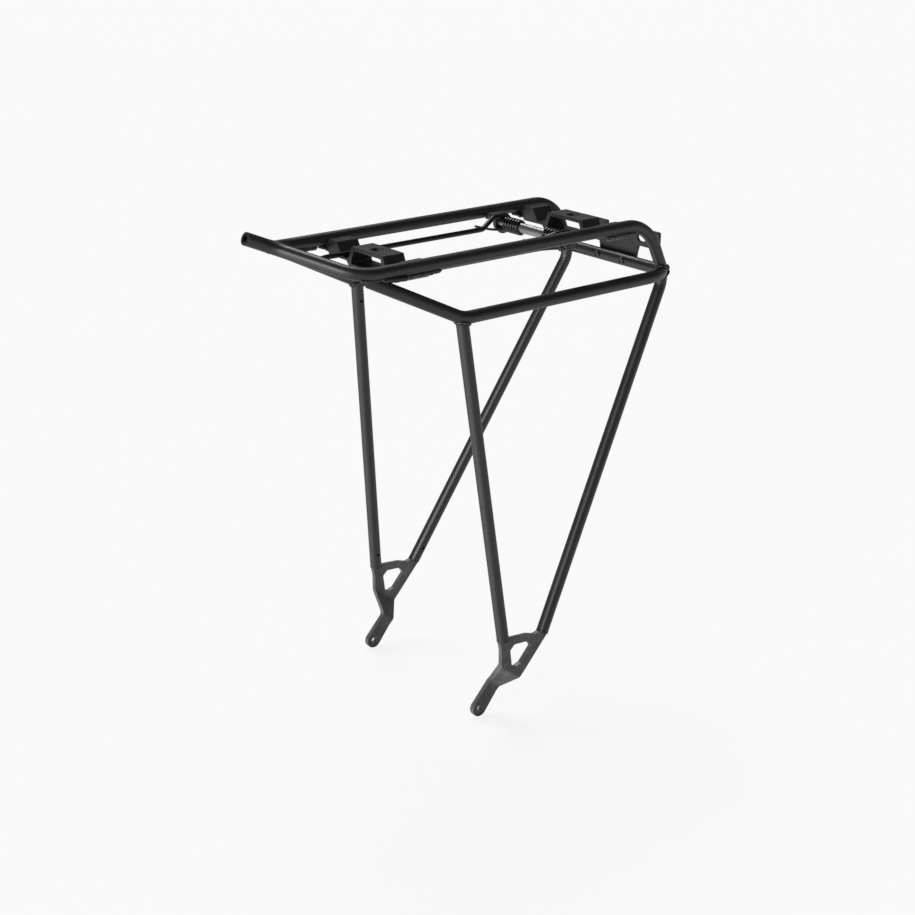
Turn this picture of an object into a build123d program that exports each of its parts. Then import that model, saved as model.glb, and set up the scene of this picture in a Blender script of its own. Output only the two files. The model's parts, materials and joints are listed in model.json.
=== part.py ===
"""Bicycle rear rack with a spring clip, modelled as separate welded, bolted and hinged pieces.

Frame: +X points to the rear of the bicycle, +Z up, -Y is the bicycle's left side.
Origin: the middle of the axis through the two foot holes. Units: millimetres.
"""
from build123d import *
from math import atan2, cos, hypot, pi, radians, sin, tan
import os

# ---------------------------------------------------------------- tubes
tube_d = 12.0            # outer diameter of every frame tube
tube_wall = 1.8          # its wall

# top rails: two rails that swing together into the stem in front and drop to the legs behind
rail_half = 69.0         # rail axis to the middle plane
rail_z = 450.5           # height of the rail axis
rail_front_x = -114.0    # where the rail axis turns towards the stem
rail_rear_x = 226.0      # where the rail axis turns down
rail_front_bend = 35.0   # bend radii, on the tube's axis
rail_rear_bend = 42.0
stem_corner_x = -160.0   # where the two rails meet
stem_corner_z = 470.5
stem_end_x = -184.5      # open front end of the stem
stem_end_z = 481.2
stem_bend = 28.0

# pannier rails: side rails that run from a brace under the top rail to the rear joint
side_half = 84.5
side_z = 400.0
side_front_x = -15.0     # front corner, over the front leg
side_front_bend = 30.0
side_rear_bend = 50.0
side_rear_turn = 38.0    # degrees that the rail turns in towards the rear joint
brace_end_x = -101.5     # end of the brace, under the top rail
brace_end_half = 65.0
brace_end_z = 443.3

# rear joint: where top rail, pannier rail, cross tube and leg come together
joint_x = 248.5
joint_half = 70.6

# legs
front_leg_x = 17.2       # lower ends of the leg axes
front_leg_z = 75.9
front_leg_top_half = 82.3   # the leg's upper end to the middle plane
rear_leg_x = 67.4
rear_leg_z = 69.0
rear_knee_x = 247.0      # slight knee just under the rear joint
rear_knee_z = 386.0
rear_knee_bend = 20.0
vent_d = 3.0             # drain holes in the legs
vent_from_top = 20.0
vent_from_foot = 16.0

# ---------------------------------------------------------------- foot plates
plate_half = 106.6       # middle of the plate's upper part to the middle plane
foot_half = 90.4         # middle of the foot to the middle plane
plate_t = 5.0
foot_hole_d = 6.4
foot_tip_r = 8.4
jog_start = 28.8         # where the plate is bent, measured from the foot hole along the band
jog_end = 47.0
jog_rise = 51.7          # degrees of the band above the horizontal
jog_bend = 5.0
seat_half = 5.2          # shoulder under each leg
tongue_half = 2.2        # tongue inside each leg
tongue_len = 8.0

# ---------------------------------------------------------------- adapter brackets
bracket_len = 23.5       # along X
front_bracket_x = -59.5  # front faces
rear_bracket_x = 179.5
bracket_top = 451.5
bracket_bottom = 436.8
bracket_wall = 3.3
bracket_floor = 2.4
bridge_drop = 4.2        # the bridge's floor lies this much under the valley floors
bridge_skirt = 4.0       # width of the slope down to it
bridge_half = 24.5       # half width of the raised middle, at its top
bridge_foot_half = 29.5  # and at its foot
valley_half = 41.0       # end of the flat valley floor
block_half = 48.5        # inner edge of the block's top
bracket_hole_d = 13.0

# ---------------------------------------------------------------- spring clip
pivot_x = 140.0
pivot_z = 441.8
pivot_tube_d = 10.0
pivot_bore_d = 5.2
pivot_bolt_d = 5.0
pivot_head_d = 8.5
pivot_head_h = 3.6
pivot_nut_af = 8.0
pivot_nut_h = 3.6
lug_t = 4.0
lug_width = 16.0         # along X
rod_d = 5.0
rod_gap = 0.3            # free play of the rod's eye round the pivot tube and on the valley floor
arm_half = 37.0          # the rod's arms to the middle plane
clip_front_x = -96.0     # the rod's front bar
clip_front_bend = 20.0
arm_end_x = 105.0        # where each arm rises to its eye
arm_top_x = 127.0
arm_bend = 10.0
eye_turn = 250.0         # degrees that the eye wraps
wire_d = 2.5
coil_gap = 0.25          # coil on the pivot tube
coil_turns = 6
coil_inner = 17.8        # coil ends to the middle plane
coil_outer = 43.8
side_play = 0.5          # between coil, eye and lug
hook_x = 98.0            # where the spring's long leg hooks over the arm
hook_corner_x = 117.0
hook_gap = 0.15          # long leg over the arm
short_leg_reach = 17.0   # short leg into the rear bracket

# ---------------------------------------------------------------- light plate
light_t = 3.0
light_top = 434.3
light_ear_half = 58.0
light_ear_bottom = 416.5
light_foot_half = 27.0
light_ear_step = 2.5
light_foot_bottom = 391.5
light_notch_half = 17.0
light_notch_z = 426.0
light_slot_y = 33.5
light_slot_w = 8.0
light_slot_len = 12.0
light_slot_z = 425.0
light_bolt_y = 18.0
light_bolt_d = 4.0
light_seat = 0.9         # bolt head sunk into the cross tube
light_head_d = 7.6
light_head_h = 2.2
light_nut_af = 7.0
light_nut_h = 3.2
hex_key = 2.5

# ---------------------------------------------------------------- ends
insert_len = 16.0
insert_thread_d = 5.0    # core diameter of the M6 thread
plug_len = 8.0
plug_lip = 1.2

tube_r = tube_d / 2
bore_r = tube_r - tube_wall
rod_r = rod_d / 2
wire_r = wire_d / 2
floor_top = bracket_bottom + bracket_floor
arm_z = floor_top + rod_r + rod_gap
eye_r = pivot_tube_d / 2 + rod_gap + rod_r
coil_r = pivot_tube_d / 2 + coil_gap + wire_r
eye_half = coil_outer + side_play + rod_r
lug_inner = eye_half + rod_r + side_play
tube_rear_x = joint_x + tube_r


# ---------------------------------------------------------------- helpers
def swept(points, radii, r):
    """Round bar of radius r along straight runs joined by tangent arcs."""
    if radii:
        path = FilletPolyline(*points, radius=radii)
    else:
        path = Line(*points)
    start = Plane(origin=path @ 0, z_dir=path % 0)
    return sweep(start * Circle(r), path=path)


def biggest(shape):
    """The largest solid of a cut, without the slivers beyond the joint."""
    return Part() + max(shape.solids(), key=lambda s: s.volume)


def mirrored(shape):
    """The same piece on the bicycle's other side."""
    return mirror(shape, about=Plane.XZ)


def group(*shapes):
    """Separate solids that share one node."""
    return Compound(children=[s for shape in shapes for s in shape.solids()])


def bar_y(x, z, y0, y1, r):
    """Round bar along Y."""
    return Plane(origin=(x, y0, z), z_dir=(0, 1, 0)) * extrude(Circle(r), y1 - y0)


def bar_x(y, z, x0, x1, r):
    """Round bar along X."""
    return Plane(origin=(x0, y, z), z_dir=(1, 0, 0)) * extrude(Circle(r), x1 - x0)


# ---------------------------------------------------------------- frame tubes
def joint_side_corner():
    """Where the side rail's axis would turn in towards the rear joint, left side."""
    return (joint_x - (side_half - joint_half) / tan(radians(side_rear_turn)), -side_half, side_z)


def left_rail(r):
    """Stem, left top rail and its drop to the rear joint, as a bar of radius r."""
    points = [
        (stem_end_x, 0, stem_end_z),
        (stem_corner_x, 0, stem_corner_z),
        (rail_front_x, -rail_half, rail_z),
        (rail_rear_x, -rail_half, rail_z),
        (joint_x, -joint_half, side_z),
    ]
    return swept(points, [stem_bend, rail_front_bend, rail_rear_bend], r)


def right_rail(r):
    """Right top rail: it starts beyond the stem, so that its end can be coped."""
    run = Vector(rail_front_x, rail_half, rail_z) - Vector(stem_corner_x, 0, stem_corner_z)
    start = Vector(stem_corner_x, 0, stem_corner_z) - run.normalized() * tube_r
    points = [
        start,
        (rail_front_x, rail_half, rail_z),
        (rail_rear_x, rail_half, rail_z),
        (joint_x, joint_half, side_z),
    ]
    return swept(points, [rail_front_bend, rail_rear_bend], r)


def left_side(r):
    """Left pannier rail: brace, front corner, side and turn-in, mitred at the rear joint."""
    corner = Vector(joint_side_corner())
    joint = Vector(joint_x, -joint_half, side_z)
    turn_in = (joint - corner).normalized()
    points = [
        (brace_end_x, -brace_end_half, brace_end_z),
        (side_front_x, -side_half, side_z),
        corner,
        joint + turn_in * tube_d,
    ]
    bar = swept(points, [side_front_bend, side_rear_bend], r)
    mitre = Plane(origin=joint, z_dir=turn_in + Vector(0, 1, 0))
    return split(bar, bisect_by=mitre, keep=Keep.BOTTOM)


def cross(r):
    """Rear cross tube, mitred to both pannier rails."""
    bar = bar_y(joint_x, side_z, -joint_half - tube_d, joint_half + tube_d, r)
    corner = Vector(joint_side_corner())
    joint = Vector(joint_x, -joint_half, side_z)
    turn_in = (joint - corner).normalized()
    mitre = Plane(origin=joint, z_dir=turn_in + Vector(0, 1, 0))
    bar = split(bar, bisect_by=mitre, keep=Keep.TOP)
    other = Plane(origin=(joint_x, joint_half, side_z), z_dir=(turn_in.X, -turn_in.Y - 1, 0))
    return split(bar, bisect_by=other, keep=Keep.TOP)


def front_leg_bar(r):
    """Left front leg's axis runs from the foot plate into the pannier rail's corner."""
    return swept([(front_leg_x, -plate_half, front_leg_z), (side_front_x, -front_leg_top_half, side_z)], [], r)


def rear_leg_bar(r):
    """Left rear leg, with the knee under the rear joint."""
    points = [
        (rear_leg_x, -plate_half, rear_leg_z),
        (rear_knee_x, -joint_half, rear_knee_z),
        (joint_x, -joint_half, side_z),
    ]
    return swept(points, [rear_knee_bend], r)


left_rail_bar = left_rail(tube_r)
left_side_bar = left_side(tube_r)
right_side_bar = mirrored(left_side_bar)
cross_bar = cross(tube_r)
lower_frame = [left_side_bar, right_side_bar, cross_bar]


def hollow(bar, bore, cutters):
    """Tube wall between a bar and its bore, coped by the bars that it is welded to."""
    wall = bar - bore
    for cutter in cutters:
        wall = wall - cutter
    return biggest(wall)


def vent(end, other, distance):
    """Drain hole through the inner wall of a left leg, a set way from one end."""
    a = Vector(*end)
    b = Vector(*other)
    centre = a + (b - a).normalized() * distance
    return Plane(origin=centre, z_dir=(0, 1, 0)) * extrude(Circle(vent_d / 2), tube_d)


# ---------------------------------------------------------------- foot plate
def leg_seat(end, far):
    """Shoulder that a leg stands on and the tongue inside it, as outline points in X and Z."""
    run = Vector(far[0] - end[0], far[1] - end[1]).normalized()
    side = Vector(run.Y, -run.X)
    foot = Vector(*end)
    steps = [
        (-seat_half, 0), (-tongue_half, 0), (-tongue_half, tongue_len),
        (tongue_half, tongue_len), (tongue_half, 0), (seat_half, 0),
    ]
    corners = [foot + side * across + run * up for across, up in steps]
    return [(c.X, c.Y) for c in corners]


def foot_plate():
    """Left foot plate: bent strip, cut to its outline, with a window and the foot hole."""
    along = Vector(cos(radians(jog_rise)), 0, sin(radians(jog_rise)))
    across = Vector(sin(radians(jog_rise)), 0, -cos(radians(jog_rise)))
    slope = atan2(plate_half - foot_half, jog_end - jog_start)
    half = plate_t / 2
    shift = half * tan(slope / 2)
    reach = 140.0
    inner = [
        (-reach, foot_half - half), (jog_start + shift, foot_half - half),
        (jog_end + shift, plate_half - half), (reach, plate_half - half),
    ]
    outer = [
        (reach, plate_half + half), (jog_end - shift, plate_half + half),
        (jog_start - shift, foot_half + half), (-reach, foot_half + half),
    ]
    strip = make_face(Polyline(*inner, *outer, close=True))
    bends = [v for v in strip.vertices() if abs(v.X) < reach - 1]
    strip = fillet(bends, jog_bend)
    side = Plane(origin=(0, 0, 0), x_dir=along, z_dir=across)
    band = side * extrude(strip, reach, both=True)

    tip = foot_tip_r / hypot(1, 1)
    front_seat = leg_seat((front_leg_x, front_leg_z), (side_front_x, side_z))
    rear_seat = leg_seat((rear_leg_x, rear_leg_z), (rear_knee_x, rear_knee_z))
    outline = Polyline(
        (-tip, tip), (3.8, 16.4), (14.2, 27.7), (14, 66), *front_seat, (34, 75), (47, 73.5), (56, 70.3),
        *rear_seat, (42.8, 34.4), (29.5, 21), (20.5, 12.5), (tip, -tip),
    )
    round_tip = ThreePointArc((tip, -tip), (-tip, -tip), (-tip, tip))
    face = make_face(Plane.XZ * Curve(children=[outline, round_tip]))
    soft = [v for v in face.vertices() if v.Z < 60 and hypot(v.X, v.Z) > foot_tip_r + 1]
    face = fillet(soft, 6)
    window = Polyline(
        (24.7, 63), (30, 68), (46.4, 66.5), (52, 59), (39, 44.5), (32, 42.5), (27, 45.5), close=True,
    )
    opening = fillet(make_face(Plane.XZ * window).vertices(), 2)
    blank = extrude(face, 200, both=True) - extrude(opening, 200, both=True)
    hole = bar_y(0, 0, -200, 200, foot_hole_d / 2)
    plate = (band & blank) - hole
    return biggest(plate)


# ---------------------------------------------------------------- adapter brackets
def bracket(x0):
    """Extruded bracket between the top rails: hollow bridge, valleys and solid end blocks."""
    drop = bracket_top - floor_top
    half_outline = [
        (bridge_half, bracket_top), (bridge_foot_half, floor_top), (valley_half, floor_top),
        (block_half, bracket_top), (rail_half - 5, bracket_top),
        (rail_half - 1, rail_z - tube_r + 0.5), (rail_half - 3.5, rail_z - tube_r - 3),
        (rail_half - 8, bracket_bottom),
        (bridge_foot_half + bridge_skirt, bracket_bottom),
        (bridge_foot_half, bracket_bottom - bridge_drop),
    ]
    right = [(y, z) for y, z in half_outline]
    left = [(-y, z) for y, z in reversed(half_outline)]
    section = make_face(Polyline(*right, *left, close=True))
    corners = [v for v in section.vertices() if abs(v.X) < block_half + 1 and v.Y > floor_top - 1]
    section = fillet(corners, 1.5)
    lean = (bridge_foot_half - bridge_half) / drop
    low = floor_top - bridge_drop
    high = bracket_top - bracket_wall
    top_half = bridge_half - bracket_wall
    low_half = top_half + lean * (high - low)
    window = make_face(
        Polyline((top_half, high), (low_half, low), (-low_half, low), (-top_half, high), close=True))
    window = fillet(window.vertices(), 1.5)
    face = Plane(origin=(x0, 0, 0), x_dir=(0, 1, 0), z_dir=(1, 0, 0)) * (section - window)
    block = extrude(face, bracket_len)
    hole = Plane(origin=(x0 + bracket_len / 2, 0, bracket_top - bracket_wall - 1)) * extrude(
        Circle(bracket_hole_d / 2), bracket_wall + 2)
    block = block - hole - left_rail_bar - mirrored(left_rail_bar)
    return biggest(block)


# ---------------------------------------------------------------- spring clip
def clip_rod():
    """U-shaped rod with an eye at each end, in one piece."""
    entry = (pivot_x, -eye_half, pivot_z + eye_r)
    arm = [
        (clip_front_x, 0, arm_z),
        (clip_front_x, -arm_half, arm_z),
        (arm_end_x, -arm_half, arm_z),
        (arm_top_x, -eye_half, pivot_z + eye_r),
        entry,
    ]
    path = FilletPolyline(*arm, radius=[clip_front_bend, arm_bend, arm_bend])
    rod = sweep(Plane(origin=path @ 0, z_dir=path % 0) * Circle(rod_r), path=path)
    disc = Plane(origin=entry, x_dir=(0, 1, 0), z_dir=(1, 0, 0)) * Circle(rod_r)
    pivot = Axis((pivot_x, -eye_half, pivot_z), (0, 1, 0))
    half = rod + revolve(disc, axis=pivot, revolution_arc=eye_turn)
    return biggest(half + mirrored(half))


def spring():
    """Left torsion spring: short leg into the rear bracket, coil, long leg hooked over the arm."""
    pitch = (coil_outer - coil_inner - wire_d) / coil_turns
    lie = Plane(origin=(pivot_x, -coil_inner - wire_r, pivot_z), x_dir=(0, 0, -1), z_dir=(0, -1, 0))
    coil = lie * Helix(pitch=pitch, height=pitch * coil_turns, radius=coil_r, lefthand=True)
    first = coil @ 0
    last = coil @ 1
    seat_z = floor_top - bridge_drop + wire_r + rod_gap
    short_leg = FilletPolyline(
        (rear_bracket_x + short_leg_reach, first.Y, seat_z),
        (rear_bracket_x - wire_d * 3, first.Y, seat_z),
        (pivot_x + 2 * coil_r, first.Y, first.Z),
        first,
        radius=[wire_d * 2, wire_d * 2],
    )
    over = arm_z + rod_r + wire_r + hook_gap
    long_leg = FilletPolyline(
        last,
        (hook_corner_x, last.Y, last.Z),
        (hook_x, last.Y, over),
        (hook_x - 1, rod_r - arm_half, over),
        radius=[wire_d * 2, wire_d],
    )
    wire = Wire(short_leg.edges() + coil.edges() + long_leg.edges())
    return sweep(Plane(origin=wire @ 0, z_dir=wire % 0) * Circle(wire_r), path=wire)


def lug():
    """Left pivot lug: angle welded under the top rail, with the bolt's hole."""
    drop = bar_y(pivot_x, pivot_z, -lug_inner - lug_t, -lug_inner, lug_width / 2)
    top = rail_z
    web = Pos(pivot_x, -lug_inner - lug_t / 2, (pivot_z + top) / 2) * Box(lug_width, lug_t, top - pivot_z)
    reach = rail_half - lug_inner
    shelf = Pos(pivot_x, -lug_inner - reach / 2, top - lug_t / 2) * Box(lug_width, reach, lug_t)
    hole = bar_y(pivot_x, pivot_z, -rail_half, 0, pivot_bore_d / 2)
    return biggest(drop + web + shelf - hole - left_rail_bar)


def hexagon(across_flats, height, plane):
    """Hexagonal nut blank."""
    return plane * extrude(RegularPolygon(across_flats / 2, 6, major_radius=False), height)


# ---------------------------------------------------------------- light plate
def light_plate():
    """Plate behind the cross tube with two ears, each with a slot for a rear light."""
    half_outline = [
        (light_notch_half, light_notch_z), (light_notch_half, light_top),
        (light_ear_half, light_top), (light_ear_half, light_ear_bottom),
        (light_foot_half + light_ear_step, light_ear_bottom), (light_foot_half, light_ear_bottom - 8),
        (light_foot_half - 2, light_foot_bottom),
    ]
    right = list(half_outline)
    left = [(-y, z) for y, z in reversed(half_outline)]
    face = make_face(Polyline(*right, *left, close=True))
    face = fillet(face.vertices(), 2)
    for side in (-1, 1):
        face = face - Pos(side * light_slot_y, light_slot_z) * SlotOverall(light_slot_len, light_slot_w)
        face = face - Pos(side * light_bolt_y, side_z) * Circle(light_bolt_d / 2 + 0.25)
    plate = Plane(origin=(tube_rear_x, 0, 0), x_dir=(0, 1, 0), z_dir=(1, 0, 0)) * extrude(face, light_t)
    return biggest(plate)


# ---------------------------------------------------------------- pieces
pieces = {}

pieces["left_top_rail"] = hollow(left_rail_bar, left_rail(bore_r), lower_frame)
pieces["right_top_rail"] = hollow(right_rail(tube_r), right_rail(bore_r), lower_frame + [left_rail_bar])

left_bore = left_side(bore_r)
pieces["left_pannier_rail"] = hollow(left_side_bar, left_bore, [left_rail_bar])
pieces["right_pannier_rail"] = mirrored(pieces["left_pannier_rail"])

bolt_holes = [
    bar_x(side * light_bolt_y, side_z, joint_x - tube_d, joint_x + tube_d, light_bolt_d / 2 + 0.25)
    for side in (-1, 1)
]
head_seats = [
    bar_x(side * light_bolt_y, side_z, joint_x - tube_d, joint_x - tube_r + light_seat, light_head_d / 2)
    for side in (-1, 1)
]
pieces["rear_cross_tube"] = hollow(cross_bar, cross(bore_r), bolt_holes + head_seats)

plate = foot_plate()
pieces["left_foot_plate"] = plate
pieces["right_foot_plate"] = mirrored(plate)

front_foot = (front_leg_x, -plate_half, front_leg_z)
front_top = (side_front_x, -front_leg_top_half, side_z)
front_vents = [
    vent(front_top, front_foot, vent_from_top), vent(front_foot, front_top, vent_from_foot),
]
pieces["left_front_leg"] = hollow(
    front_leg_bar(tube_r), front_leg_bar(bore_r), [left_side_bar, plate] + front_vents)
pieces["right_front_leg"] = mirrored(pieces["left_front_leg"])

rear_foot = (rear_leg_x, -plate_half, rear_leg_z)
rear_knee = (rear_knee_x, -joint_half, rear_knee_z)
rear_vents = [vent(rear_foot, rear_knee, vent_from_foot)]
pieces["left_rear_leg"] = hollow(
    rear_leg_bar(tube_r), rear_leg_bar(bore_r), [left_side_bar, cross_bar, plate] + rear_vents)
pieces["right_rear_leg"] = mirrored(pieces["left_rear_leg"])

stem_end = Vector(stem_end_x, 0, stem_end_z)
stem_run = (Vector(stem_corner_x, 0, stem_corner_z) - stem_end).normalized()
stem_plane = Plane(origin=stem_end, z_dir=stem_run)
pieces["stem_insert"] = stem_plane * extrude(Circle(bore_r) - Circle(insert_thread_d / 2), insert_len)

brace_end = Vector(brace_end_x, -brace_end_half, brace_end_z)
brace_run = (Vector(side_front_x, -side_half, side_z) - brace_end).normalized()
brace_plane = Plane(origin=brace_end, z_dir=brace_run)
plug = brace_plane * extrude(Circle(bore_r), plug_len) + brace_plane * extrude(Circle(tube_r), -plug_lip)
plug = biggest(plug - left_rail_bar)
pieces["brace_plugs"] = group(plug, mirrored(plug))

pieces["front_bracket"] = bracket(front_bracket_x)
pieces["rear_bracket"] = bracket(rear_bracket_x)

pieces["clip_rod"] = clip_rod()
pieces["pivot_tube"] = bar_y(pivot_x, pivot_z, -lug_inner, lug_inner, pivot_tube_d / 2) - bar_y(
    pivot_x, pivot_z, -lug_inner, lug_inner, pivot_bore_d / 2)
lug_face = lug_inner + lug_t
bolt = bar_y(pivot_x, pivot_z, -lug_face, lug_face + pivot_nut_h, pivot_bolt_d / 2)
bolt = bolt + bar_y(pivot_x, pivot_z, -lug_face - pivot_head_h, -lug_face, pivot_head_d / 2)
key = Plane(origin=(pivot_x, -lug_face - pivot_head_h, pivot_z), z_dir=(0, 1, 0))
pieces["pivot_bolt"] = bolt - hexagon(hex_key + 0.5, pivot_head_h / 2, key)
nut_plane = Plane(origin=(pivot_x, lug_face, pivot_z), z_dir=(0, 1, 0))
nut = hexagon(pivot_nut_af, pivot_nut_h, nut_plane)
pieces["pivot_nut"] = nut - nut_plane * extrude(Circle(pivot_bolt_d / 2), pivot_nut_h)

pieces["left_spring"] = spring()
pieces["right_spring"] = mirrored(pieces["left_spring"])
pieces["left_pivot_lug"] = lug()
pieces["right_pivot_lug"] = mirrored(pieces["left_pivot_lug"])

pieces["light_plate"] = light_plate()
head_x = joint_x - tube_r + light_seat
plate_back = tube_rear_x + light_t
light_bolts = []
light_nuts = []
for y in (-light_bolt_y, light_bolt_y):
    shank = bar_x(y, side_z, head_x, plate_back + light_nut_h + 1, light_bolt_d / 2)
    head = bar_x(y, side_z, head_x - light_head_h - light_seat, head_x, light_head_d / 2)
    crown = head.edges().filter_by(GeomType.CIRCLE).sort_by(Axis.X)[0]
    head = fillet(crown, light_head_h * 0.6)
    socket = Plane(origin=(head_x - light_head_h - light_seat, y, side_z), z_dir=(1, 0, 0))
    light_bolts.append(shank + head - hexagon(hex_key, light_head_h * 0.6, socket))
    nut_seat = Plane(origin=(plate_back, y, side_z), z_dir=(1, 0, 0))
    blank = hexagon(light_nut_af, light_nut_h, nut_seat)
    light_nuts.append(blank - nut_seat * extrude(Circle(light_bolt_d / 2), light_nut_h))
pieces["light_plate_bolts"] = group(*light_bolts)
pieces["light_plate_nuts"] = group(*light_nuts)

# ---------------------------------------------------------------- files
os.makedirs("parts", exist_ok=True)
for name, shape in pieces.items():
    export_step(shape, "parts/" + name + ".step")
print(len(pieces), "nodes written")
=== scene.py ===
"""Looks for the bicycle rear rack: coats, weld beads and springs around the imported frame, in metres."""
import json
import math

import bpy
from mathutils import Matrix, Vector
from mathutils.bvhtree import BVHTree


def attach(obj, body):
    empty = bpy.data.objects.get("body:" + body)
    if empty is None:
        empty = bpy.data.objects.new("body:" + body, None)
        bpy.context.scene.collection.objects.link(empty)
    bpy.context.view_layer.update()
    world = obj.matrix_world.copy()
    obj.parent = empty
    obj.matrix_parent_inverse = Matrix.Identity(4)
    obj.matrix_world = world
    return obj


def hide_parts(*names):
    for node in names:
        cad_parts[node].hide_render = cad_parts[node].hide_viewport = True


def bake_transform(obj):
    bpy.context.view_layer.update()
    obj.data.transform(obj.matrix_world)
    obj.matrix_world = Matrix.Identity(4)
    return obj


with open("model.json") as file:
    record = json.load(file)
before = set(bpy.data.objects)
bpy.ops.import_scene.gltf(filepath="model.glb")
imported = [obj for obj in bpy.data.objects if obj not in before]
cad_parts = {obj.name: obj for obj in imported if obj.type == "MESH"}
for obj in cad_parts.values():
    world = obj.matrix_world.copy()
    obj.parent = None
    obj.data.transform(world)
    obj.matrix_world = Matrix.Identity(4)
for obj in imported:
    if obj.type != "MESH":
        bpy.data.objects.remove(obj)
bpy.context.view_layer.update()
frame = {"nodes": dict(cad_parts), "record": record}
scene = bpy.context.scene
nodes = frame["nodes"]
MM = 0.001

# ---------------------------------------------------------------- sizes shared with the frame, in millimetres
TUBE_R = 6.0
PIVOT_X, PIVOT_Z = 140.0, 441.8
WIRE_R = 1.25
COIL_R = 6.5
COIL_TURNS = 6
COIL_INNER, COIL_OUTER = 17.8, 43.8
REAR_BRACKET_X = 179.5
FLOOR_TOP = 439.2
BRIDGE_DROP = 4.2
ARM_HALF, ROD_R = 37.0, 2.5
CLEARANCE = 0.3
ARM_Z = FLOOR_TOP + ROD_R + CLEARANCE

# Points on the right side's tube axes; the left side mirrors them.
RAIL_BEND, STEM_BEND = (-114, 69, 450.5), (-160, 0, 470.5)
SIDE = (-15.0, 84.5, 400.0)
REAR_SIDE = (230.71, 84.5, 400.0)
BRACE_END = (-101.5, 65.0, 443.3)
RAIL_DROP = (232.0, 69.7, 436.0)
JOINT = (248.5, 70.6, 400.0)
KNEE = (247.0, 70.6, 386.0)
LEG_TOP = (-15.0, 82.3, 400.0)
FRONT_FOOT = (17.2, 106.6, 75.9)
REAR_FOOT = (67.4, 106.6, 69.0)
LUG_EDGES = (131.0, 149.0)

FLOOR_Z = -8.4 * MM
FLOOR_REACH = 40.0
CAMERA_AT = (-833.130, -1121.386, 781.052)
CAMERA_AZIMUTH, CAMERA_ELEVATION = -38.055, 21.266


# ---------------------------------------------------------------- materials
def new_material(name):
    """Empty node material and its Principled shader."""
    mat = bpy.data.materials.new(name)
    mat.use_nodes = True
    tree = mat.node_tree
    tree.nodes.clear()
    out = tree.nodes.new("ShaderNodeOutputMaterial")
    shader = tree.nodes.new("ShaderNodeBsdfPrincipled")
    tree.links.new(shader.outputs[0], out.inputs["Surface"])
    return mat, tree, shader


def noise(tree, scale, detail=3.0, rough=0.5, stretch=None):
    """3-D noise in the row frame; the CAD nodes and the new pieces all share that frame."""
    coords = tree.nodes.new("ShaderNodeTexCoord")
    tex = tree.nodes.new("ShaderNodeTexNoise")
    tex.inputs["Scale"].default_value = scale
    tex.inputs["Detail"].default_value = detail
    tex.inputs["Roughness"].default_value = rough
    source = coords.outputs["Object"]
    if stretch:
        mapping = tree.nodes.new("ShaderNodeMapping")
        mapping.inputs["Scale"].default_value = stretch
        tree.links.new(source, mapping.inputs["Vector"])
        source = mapping.outputs["Vector"]
    tree.links.new(source, tex.inputs["Vector"])
    return tex.outputs["Fac"]


def ramp(tree, fac, stops):
    """Colour ramp through (position, rgb) stops."""
    node = tree.nodes.new("ShaderNodeValToRGB")
    elements = node.color_ramp.elements
    while len(elements) < len(stops):
        elements.new(0.5)
    for element, (position, rgb) in zip(elements, stops):
        element.position = position
        element.color = (*rgb, 1)
    tree.links.new(fac, node.inputs["Fac"])
    return node.outputs["Color"]


def spread(tree, fac, low, high):
    """The noise's middle range mapped onto low to high."""
    node = tree.nodes.new("ShaderNodeMapRange")
    node.inputs["From Min"].default_value = 0.3
    node.inputs["From Max"].default_value = 0.7
    node.inputs["To Min"].default_value = low
    node.inputs["To Max"].default_value = high
    tree.links.new(fac, node.inputs["Value"])
    return node.outputs["Result"]


def bump(tree, shader, fac, strength, distance, edge=0.0):
    """Fine relief; edge rounds sharp corners in the shading, in metres."""
    node = tree.nodes.new("ShaderNodeBump")
    node.inputs["Strength"].default_value = strength
    node.inputs["Distance"].default_value = distance
    tree.links.new(fac, node.inputs["Height"])
    if edge:
        soft = tree.nodes.new("ShaderNodeBevel")
        soft.samples = 4
        soft.inputs["Radius"].default_value = edge
        tree.links.new(soft.outputs["Normal"], node.inputs["Normal"])
    tree.links.new(node.outputs["Normal"], shader.inputs["Normal"])


def coat(name, dark, light, rough, grain, grain_height, specular, edge=0.0, clear=0.0):
    """Painted or powder-coated metal: mottled colour, uneven gloss and a fine grain."""
    mat, tree, shader = new_material(name)
    mottled = noise(tree, 90, 4, 0.6)
    tree.links.new(ramp(tree, mottled, [(0.3, dark), (0.7, light)]), shader.inputs["Base Color"])
    tree.links.new(spread(tree, noise(tree, 35, 5, 0.65), *rough), shader.inputs["Roughness"])
    bump(tree, shader, noise(tree, grain, 2, 0.6), 0.35, grain_height, edge)
    shader.inputs["Specular IOR Level"].default_value = specular
    shader.inputs["Coat Weight"].default_value = clear
    shader.inputs["Coat Roughness"].default_value = 0.12
    return mat


def metal(name, dark, light, rough, stretch, edge=0.0):
    """Bare metal with fine turning or drawing marks along one axis."""
    mat, tree, shader = new_material(name)
    marks = noise(tree, 60, 6, 0.7, stretch)
    tree.links.new(ramp(tree, marks, [(0.3, dark), (0.7, light)]), shader.inputs["Base Color"])
    tree.links.new(spread(tree, marks, *rough), shader.inputs["Roughness"])
    bump(tree, shader, marks, 0.25, 0.00005, edge)
    shader.inputs["Metallic"].default_value = 1.0
    return mat


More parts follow.
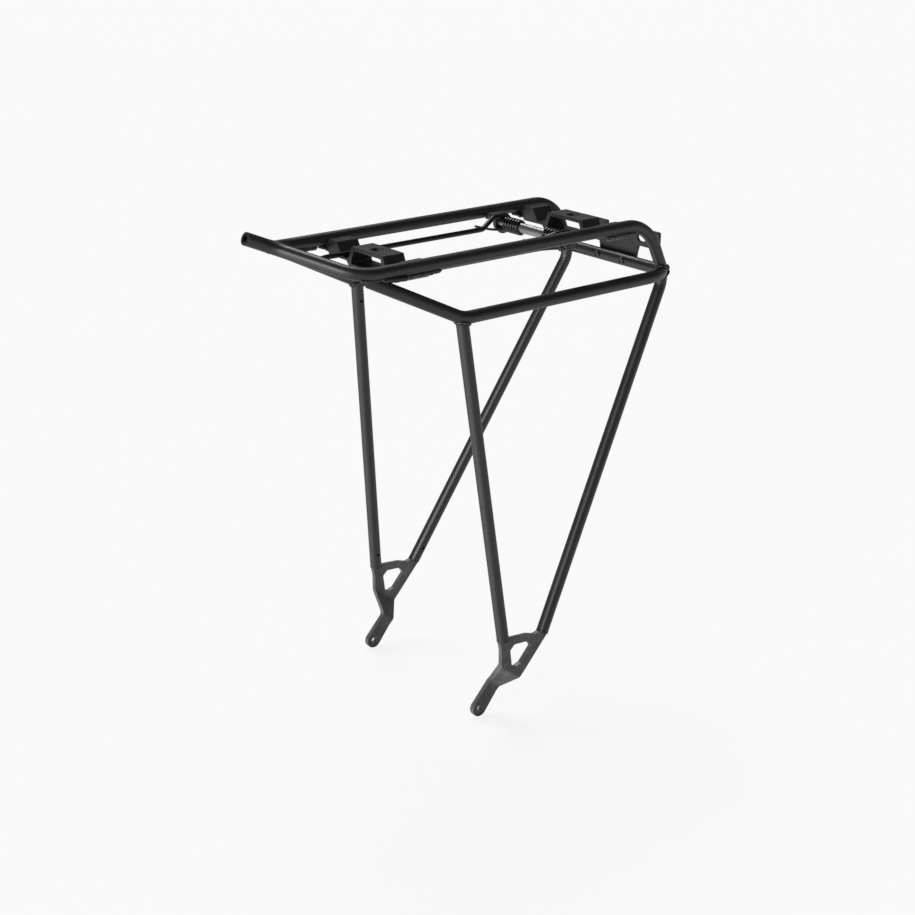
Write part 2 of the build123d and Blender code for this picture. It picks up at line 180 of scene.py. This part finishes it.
materials = {
    "frame_coat": coat(
        "frame_coat", (0.0028, 0.0028, 0.0030), (0.0060, 0.0060, 0.0063), (0.36, 0.44), 900, 0.00002, 0.75),
    # Foot plates: a dark grey coat whose lighter tone is partly their own and partly painted light, standing
    # in for the light their side faces catch.
    "plate_coat": coat(
        "plate_coat", (0.045, 0.045, 0.046), (0.100, 0.100, 0.102), (0.36, 0.50), 900, 0.00020, 0.5, 0.0007),
    "bracket_coat": coat(
        "bracket_coat", (0.009, 0.009, 0.0095), (0.020, 0.020, 0.021), (0.30, 0.42),
        1200, 0.00005, 0.5, 0.0009),
    "rod_black": coat(
        "rod_black", (0.002, 0.002, 0.002), (0.005, 0.005, 0.005), (0.26, 0.36), 900, 0.00002, 0.4),
    "spring_black": coat(
        "spring_black", (0.004, 0.004, 0.004), (0.008, 0.008, 0.008), (0.10, 0.20),
        900, 0.00002, 0.6, 0.0, 0.5),
    "bolt_black": coat(
        "bolt_black", (0.012, 0.012, 0.013), (0.030, 0.030, 0.032), (0.25, 0.38), 1200, 0.00003, 0.6, 0.0003),
    "plug_black": coat(
        "plug_black", (0.010, 0.010, 0.010), (0.018, 0.018, 0.018), (0.45, 0.6), 800, 0.00006, 0.4, 0.0004),
    "sleeve_steel": metal("sleeve_steel", (0.34, 0.34, 0.33), (0.50, 0.50, 0.49), (0.26, 0.36), (12, 1, 12)),
    "insert_black": metal("insert_black", (0.02, 0.02, 0.02), (0.05, 0.05, 0.05), (0.3, 0.5), (30, 1, 30)),
    "weld_coat": coat(
        "weld_coat", (0.006, 0.006, 0.0065), (0.014, 0.014, 0.015), (0.18, 0.32), 900, 0.00010, 0.55),
}

slot_of = {entry["node"]: entry["material_slot"] for entry in frame["record"]["subparts"]}
for name, obj in nodes.items():
    obj.data.materials.clear()
    obj.data.materials.append(materials[slot_of[name]])
# The rear light plate takes the dark bracket coat, unlike the foot plates that share its slot, whose lighter
# grey is partly their own tone and partly painted light.
nodes["light_plate"].data.materials[0] = materials["bracket_coat"]


# ---------------------------------------------------------------- mesh helpers
def add_mesh(name, verts, faces, material, body):
    """New piece from vertices in millimetres, smooth-shaded, riding on a body."""
    mesh = bpy.data.meshes.new(name)
    mesh.from_pydata([tuple(Vector(v) * MM) for v in verts], [], faces)
    mesh.polygons.foreach_set("use_smooth", [True] * len(mesh.polygons))
    mesh.update()
    mesh.materials.append(materials[material])
    obj = bpy.data.objects.new(name, mesh)
    scene.collection.objects.link(obj)
    if body:
        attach(obj, body)
    return obj


def tube(points, radii, sides=16, closed=False):
    """Vertices and faces of a round skin along points, with a radius at each one."""
    pts = [Vector(p) for p in points]
    count = len(pts)
    verts, faces = [], []
    normal = None
    for i, p in enumerate(pts):
        if closed:
            ahead = (pts[(i + 1) % count] - pts[i - 1]).normalized()
        else:
            ahead = (pts[min(i + 1, count - 1)] - pts[max(i - 1, 0)]).normalized()
        if normal is None:
            normal = ahead.orthogonal().normalized()
        normal = (normal - ahead * normal.dot(ahead)).normalized()
        side = ahead.cross(normal)
        for k in range(sides):
            a = 2 * math.pi * k / sides
            verts.append(p + (normal * math.cos(a) + side * math.sin(a)) * radii[i])
    shift = 0
    if closed:
        first = [verts[k] for k in range(sides)]
        last = verts[(count - 1) * sides]
        shift = min(range(sides), key=lambda k: (first[k] - last).length)
    for i in range(count if closed else count - 1):
        j = (i + 1) % count
        turn = shift if closed and j == 0 else 0
        for k in range(sides):
            m = (k + 1) % sides
            faces.append((
                i * sides + k, i * sides + m, j * sides + (m + turn) % sides, j * sides + (k + turn) % sides))
    if not closed:
        faces.append(tuple(reversed(range(sides))))
        faces.append(tuple((count - 1) * sides + k for k in range(sides)))
    return verts, faces


def rounded(points, radii, step=8):
    """Straight runs joined by tangent arcs, sampled for a tube."""
    pts = [Vector(p) for p in points]
    out = [pts[0]]
    for i, r in enumerate(radii, start=1):
        back = (pts[i - 1] - pts[i]).normalized()
        on = (pts[i + 1] - pts[i]).normalized()
        half = back.angle(on) / 2
        reach = r / math.tan(half)
        centre = pts[i] + (back + on).normalized() * (r / math.sin(half))
        start = pts[i] + back * reach - centre
        end = pts[i] + on * reach - centre
        for k in range(step + 1):
            out.append(centre + start.slerp(end, k / step) if start.length > 0 else pts[i])
    out.append(pts[-1])
    return out


def resample(points, step, closed=False):
    """Evenly spaced points along a polyline."""
    pts = [Vector(p) for p in points] + ([Vector(points[0])] if closed else [])
    lengths = [0.0]
    for a, b in zip(pts, pts[1:]):
        lengths.append(lengths[-1] + (b - a).length)
    total = lengths[-1]
    count = max(int(total / step), 4)
    out, j = [], 0
    for i in range(count if closed else count + 1):
        s = total * i / count
        while j < len(lengths) - 2 and lengths[j + 1] < s:
            j += 1
        span = lengths[j + 1] - lengths[j]
        out.append(pts[j].lerp(pts[j + 1], (s - lengths[j]) / span if span else 0))
    return out


def bead(name, points, r, pitch=2.2, closed=False):
    """Weld bead of overlapping scales along a seam."""
    seam = resample(points, pitch / 6, closed)
    count = len(seam)
    turns = max(round(count / 6), 1)
    radii = []
    for i in range(count):
        phase = (i / count * turns) % 1
        scale = 0.74 + 0.34 * math.sqrt(max(1 - (phase * 1.25 - 0.45) ** 2 / 0.7, 0))
        drift = 1 + 0.07 * math.sin(i * 0.37) + 0.05 * math.sin(i * 0.91)
        radii.append(r * scale * drift)
    if not closed:
        for i in range(min(5, count // 3)):
            fade = 0.45 + 0.11 * i
            radii[i] *= fade
            radii[-1 - i] *= fade
    verts, faces = tube(seam, radii, 12, closed)
    return add_mesh(name, verts, faces, "weld_coat", "rack")


def tree_of(names):
    """Ray-cast tree of some CAD nodes, in millimetres."""
    verts, faces = [], []
    for name in names:
        mesh = nodes[name].data
        base = len(verts)
        verts.extend(v.co / MM for v in mesh.vertices)
        faces.extend(tuple(base + i for i in p.vertices) for p in mesh.polygons)
    return BVHTree.FromPolygons(verts, faces)


def seam_ring(start, end, targets, r=TUBE_R, steps=48, lift=0.2):
    """Runs of points where the skin of a round tube from start to end meets the target nodes."""
    a, b = Vector(start), Vector(end)
    run = (b - a).normalized()
    across = run.orthogonal().normalized()
    other = run.cross(across)
    tree = tree_of(targets)
    hits = []
    for i in range(steps):
        angle = 2 * math.pi * i / steps
        out = across * math.cos(angle) + other * math.sin(angle)
        found = tree.ray_cast(a + out * r, run, (b - a).length + 20)
        hits.append(found[0] + out * lift if found[0] is not None else None)
    if all(h is not None for h in hits):
        return [(hits, True)]
    first = next(i for i, h in enumerate(hits) if h is None)
    runs, current = [], []
    for h in hits[first:] + hits[:first]:
        if h is None or (current and (h - current[-1]).length > 6):
            if len(current) > 4:
                runs.append((current, False))
            current = [] if h is None else [h]
        else:
            current.append(h)
    if len(current) > 4:
        runs.append((current, False))
    return runs


def ring_beads(name, start, end, targets, size, **more):
    """A bead along each run of a tube's seam."""
    for i, (points, closed) in enumerate(seam_ring(start, end, targets, **more)):
        bead(f"{name}_{i}", points, size, closed=closed)


# ---------------------------------------------------------------- weld beads
ring_beads("stem_weld", RAIL_BEND, STEM_BEND, ["left_top_rail"], 0.9, lift=-0.7)

for side, s in (("left", -1), ("right", 1)):

    def flip(p, s=s):
        return Vector((p[0], s * p[1], p[2]))

    rail, pannier = side + "_top_rail", side + "_pannier_rail"
    front_top = flip(LEG_TOP).lerp(flip(FRONT_FOOT), 0.12)
    ring_beads(side + "_front_leg_weld", front_top, flip(LEG_TOP), [pannier], 1.9)
    rear_top = flip(KNEE).lerp(flip(REAR_FOOT), 0.03)
    ring_beads(side + "_rear_leg_weld", rear_top, flip(JOINT), [pannier, "rear_cross_tube"], 1.7)
    ring_beads(side + "_rear_drop_weld", flip(RAIL_DROP), flip(JOINT), [pannier, "rear_cross_tube"], 1.7)
    ring_beads(side + "_brace_weld", flip(SIDE), flip(BRACE_END), [rail], 1.7)

    for leg, foot, top in (("front", FRONT_FOOT, LEG_TOP), ("rear", REAR_FOOT, KNEE)):
        run = (flip(top) - flip(foot)).normalized()
        across = run.orthogonal().normalized()
        other = run.cross(across)
        ring = []
        for i in range(40):
            angle = 2 * math.pi * i / 40
            ring.append(flip(foot) + run * 0.4 + (across * math.cos(angle) + other * math.sin(angle)) * 4.9)
        bead(f"{side}_{leg}_foot_weld", ring, 1.3, closed=True)

    turn = (flip(JOINT) - flip(REAR_SIDE)).normalized()
    mitre = (turn + Vector((0, -s, 0))).normalized()
    ring = []
    for i in range(48):
        angle = 2 * math.pi * i / 48
        skin = flip(JOINT) + Vector((math.cos(angle), 0, math.sin(angle))) * (TUBE_R - 0.5)
        skin.y -= (skin - flip(JOINT)).dot(mitre) / mitre.y
        ring.append(skin)
    bead(side + "_mitre_weld", ring, 0.75, closed=True)

    for bracket, x0, x1 in (("front", -66.0, -28.0), ("rear", 170.0, 214.0)):
        outer = [(x0 + (x1 - x0) * t / 20, s * 69.4, 443.2 + 0.4 * math.sin(t * 1.3)) for t in range(21)]
        bead(f"{side}_{bracket}_bracket_weld", outer, 2.4, pitch=4.4)
        inner = [
            (x0 + 5 + (x1 - x0 - 10) * t / 20, s * 65.6, 441.2 + 0.3 * math.cos(t * 1.7)) for t in range(21)]
        bead(f"{side}_{bracket}_bracket_root_weld", inner, 2.1, pitch=4.6)
    seam = [(-93.0 + 27 * t / 16, s * (71.2 + 0.9 * t / 16), 444.3 - 1.6 * t / 16) for t in range(17)]
    bead(side + "_brace_root_weld", seam, 2.7, pitch=4.0)
    for x in LUG_EDGES:
        line = [(x, s * (57.5 + 6.5 * t / 8), 446.6 - 0.25 * t * t / 8) for t in range(9)]
        bead(f"{side}_lug_weld_{int(x)}", line, 1.2)

# ---------------------------------------------------------------- springs
for side, s in (("left", -1), ("right", 1)):
    y0 = COIL_INNER + WIRE_R
    y1 = COIL_OUTER - WIRE_R
    coil = []
    steps = COIL_TURNS * 40
    for i in range(steps + 1):
        angle = 2 * math.pi * COIL_TURNS * i / steps
        y = y0 + (y1 - y0) * i / steps
        coil.append((PIVOT_X - COIL_R * math.sin(angle), s * y, PIVOT_Z - COIL_R * math.cos(angle)))
    verts, faces = tube(coil, [WIRE_R] * len(coil), 14)
    piece = add_mesh(side + "_spring_coil", verts, faces, "spring_black", None)
    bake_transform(piece)
    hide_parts(side + "_spring")

    seat_z = FLOOR_TOP - BRIDGE_DROP + WIRE_R + CLEARANCE
    low = PIVOT_Z - COIL_R
    short_leg = rounded(
        [(REAR_BRACKET_X + 17, s * y0, seat_z), (REAR_BRACKET_X - 7.5, s * y0, seat_z),
         (PIVOT_X + 2 * COIL_R, s * y0, low), (PIVOT_X, s * y0, low)], [5, 5])
    path = resample(short_leg, 0.8)
    verts, faces = tube(path, [WIRE_R] * len(path), 14)
    add_mesh(side + "_spring_short_leg", verts, faces, "spring_black", "rack")

    over = ARM_Z + ROD_R + WIRE_R + 0.15
    long_leg = rounded(
        [(PIVOT_X, s * y1, low), (117.0, s * y1, low),
         (98.0, s * y1, over), (97.0, s * (ARM_HALF - ROD_R), over)],
        [5, 2.5])
    path = resample(long_leg, 0.8)
    verts, faces = tube(path, [WIRE_R] * len(path), 14)
    add_mesh(side + "_spring_long_leg", verts, faces, "spring_black", "clip")

# ---------------------------------------------------------------- floor, light and camera
floor_mesh = bpy.data.meshes.new("floor")
floor_mesh.from_pydata(
    [(FLOOR_REACH * x, FLOOR_REACH * y, FLOOR_Z) for x, y in ((-1, -1), (1, -1), (1, 1), (-1, 1))],
    [], [(0, 1, 2, 3)])
floor = bpy.data.objects.new("floor", floor_mesh)
scene.collection.objects.link(floor)
# The bounce sun shines from below the floor, so the floor casts no shadow.
floor.visible_shadow = False

mat = bpy.data.materials.new("floor_white")
mat.use_nodes = True
tree = mat.node_tree
tree.nodes.clear()
out = tree.nodes.new("ShaderNodeOutputMaterial")
diffuse = tree.nodes.new("ShaderNodeBsdfDiffuse")
diffuse.inputs["Color"].default_value = (0.9, 0.9, 0.9, 1)
glow = tree.nodes.new("ShaderNodeEmission")
glow.inputs["Color"].default_value = (1, 1, 1, 1)
glow.inputs["Strength"].default_value = 1.0
paths = tree.nodes.new("ShaderNodeLightPath")
share = tree.nodes.new("ShaderNodeMath")
share.operation = "MULTIPLY"
share.inputs[1].default_value = 0.86
mix = tree.nodes.new("ShaderNodeMixShader")
tree.links.new(paths.outputs["Is Camera Ray"], share.inputs[0])
tree.links.new(share.outputs[0], mix.inputs["Fac"])
tree.links.new(diffuse.outputs[0], mix.inputs[1])
tree.links.new(glow.outputs[0], mix.inputs[2])
tree.links.new(mix.outputs[0], out.inputs["Surface"])
floor_mesh.materials.append(mat)

world = bpy.data.worlds.new("studio")
scene.world = world
world.use_nodes = True
tree = world.node_tree
tree.nodes.clear()
out = tree.nodes.new("ShaderNodeOutputWorld")
coords = tree.nodes.new("ShaderNodeTexCoord")
split = tree.nodes.new("ShaderNodeSeparateXYZ")
tree.links.new(coords.outputs["Generated"], split.inputs[0])
dome = ramp(tree, split.outputs["Z"], [
    (0.0, (0.0,) * 3), (0.004, (0.26,) * 3), (0.25, (0.2,) * 3), (0.5, (0.08,) * 3), (1.0, (0.08,) * 3)])
room = tree.nodes.new("ShaderNodeBackground")
tree.links.new(dome, room.inputs["Color"])
white = tree.nodes.new("ShaderNodeBackground")
white.inputs["Color"].default_value = (1, 1, 1, 1)
paths = tree.nodes.new("ShaderNodeLightPath")
seen = tree.nodes.new("ShaderNodeMath")
seen.operation = "MAXIMUM"
mix = tree.nodes.new("ShaderNodeMixShader")
tree.links.new(paths.outputs["Is Camera Ray"], seen.inputs[0])
tree.links.new(paths.outputs["Is Transmission Ray"], seen.inputs[1])
tree.links.new(seen.outputs[0], mix.inputs["Fac"])
tree.links.new(room.outputs[0], mix.inputs[1])
tree.links.new(white.outputs[0], mix.inputs[2])
tree.links.new(mix.outputs[0], out.inputs["Surface"])


def sun(name, direction, strength, angle):
    """Even light from far away; a wide angle gives soft shadows."""
    lamp = bpy.data.lights.new(name, "SUN")
    lamp.energy = strength
    lamp.angle = math.radians(angle)
    obj = bpy.data.objects.new(name, lamp)
    obj.rotation_euler = (-Vector(direction)).to_track_quat("-Z", "Y").to_euler()
    scene.collection.objects.link(obj)


sun("key", (-1.0, -0.35, 0.2), 1.8, 34)
sun("bounce", (-1.0, 0.15, -0.3), 2.7, 40)
sun("top", (0.25, 0.6, 1.0), 1.9, 25)

camera_data = bpy.data.cameras.new("camera")
camera_data.lens = 60.41
camera_data.sensor_width = 36
camera_data.clip_end = 200
camera = bpy.data.objects.new("camera", camera_data)
azimuth, elevation = math.radians(CAMERA_AZIMUTH), math.radians(CAMERA_ELEVATION)
back = Vector((
    math.sin(azimuth) * math.cos(elevation), -math.cos(azimuth) * math.cos(elevation), math.sin(elevation)))
camera.location = Vector(CAMERA_AT) * MM
camera.rotation_euler = (-back).to_track_quat("-Z", "Y").to_euler()
scene.collection.objects.link(camera)
scene.camera = camera

scene.view_settings.view_transform = "Standard"
